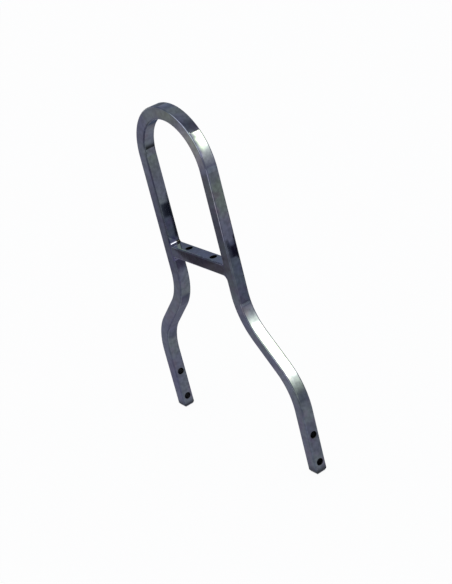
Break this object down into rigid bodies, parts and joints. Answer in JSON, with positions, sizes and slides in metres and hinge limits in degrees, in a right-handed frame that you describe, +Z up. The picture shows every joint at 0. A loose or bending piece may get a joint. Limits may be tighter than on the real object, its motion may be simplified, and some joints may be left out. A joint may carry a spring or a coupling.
{
  "type": "sissy bar",
  "caption": "Square-bar motorbike backrest hoop with splayed legs, a drilled welded crossbar and bolt holes through each leg, in dark polished chrome.",
  "frame": {"origin": "midway between the two leg ends, at the level of the ends and at mid depth of the bar", "axes": "+X across from the left leg to the right leg, +Z up from the leg ends to the crown, +Y from the front face to the back face"},
  "size_m": [0.2954, 0.016, 0.4481],
  "materials": {
    "dark_chrome": "polished dark chrome"
  },
  "bodies": {
    "root": {"hoop": "dark_chrome", "crossbar": "dark_chrome", "left_weld": "dark_chrome", "right_weld": "dark_chrome"}
  },
  "joints": []
}
